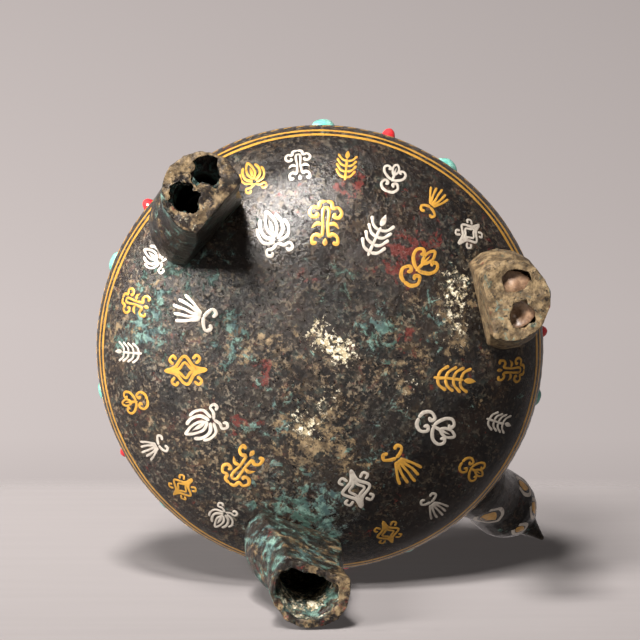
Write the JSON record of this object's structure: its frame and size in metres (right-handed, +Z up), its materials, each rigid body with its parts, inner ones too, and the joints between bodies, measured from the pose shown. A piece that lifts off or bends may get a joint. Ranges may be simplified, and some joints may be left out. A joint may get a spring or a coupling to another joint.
{
  "type": "bronze tripod ewer",
  "caption": "Round bronze ewer on hoof legs, with a bird-head spout, arched handle, lift-off lid, inlaid gold lines and stones set round its shoulder, for holding and pouring liquid.",
  "frame": {"origin": "middle of the ewer's box at the plane its feet stand on", "axes": "+Z up, +X towards the spout, +Y to the ewer's left"},
  "size_m": [0.2571, 0.2108, 0.2256],
  "materials": {
    "bronze": "dark patinated cast bronze",
    "gold": "rubbed gold inlay",
    "turquoise": "polished turquoise",
    "coral": "polished coral",
    "clay": "fired clay casting core"
  },
  "bodies": {
    "vessel": {"vessel_body": "bronze", "leg_rear": "bronze", "leg_front_left": "bronze", "leg_front_right": "bronze", "casting_core": "clay", "gold_line_upper": "gold", "gold_line_lower": "gold", "turquoise_01": "turquoise", "turquoise_02": "turquoise", "turquoise_03": "turquoise", "turquoise_04": "turquoise", "turquoise_05": "turquoise", "turquoise_06": "turquoise", "turquoise_07": "turquoise", "turquoise_08": "turquoise", "turquoise_09": "turquoise", "turquoise_10": "turquoise", "coral_01": "coral", "coral_02": "coral", "coral_03": "coral", "coral_04": "coral", "coral_05": "coral", "spout": "bronze", "beak_pin": "bronze", "handle": "bronze", "handle_rivet_front": "bronze", "handle_rivet_rear": "bronze"},
    "lid_assembly": {"lid": "bronze", "lid_knob": "bronze"},
    "beak": {"beak_upper": "bronze"}
  },
  "joints": [
    {"name": "lid_lift", "type": "slide", "parent": "vessel", "child": "lid_assembly", "axis": [0, 0, 1], "range_m": [0, 0.025]},
    {"name": "beak_open", "type": "hinge", "parent": "vessel", "child": "beak", "pos_m": [0.11457, 0, 0.16043], "axis": [0, -1, 0], "range_deg": [0, 65]}
  ]
}
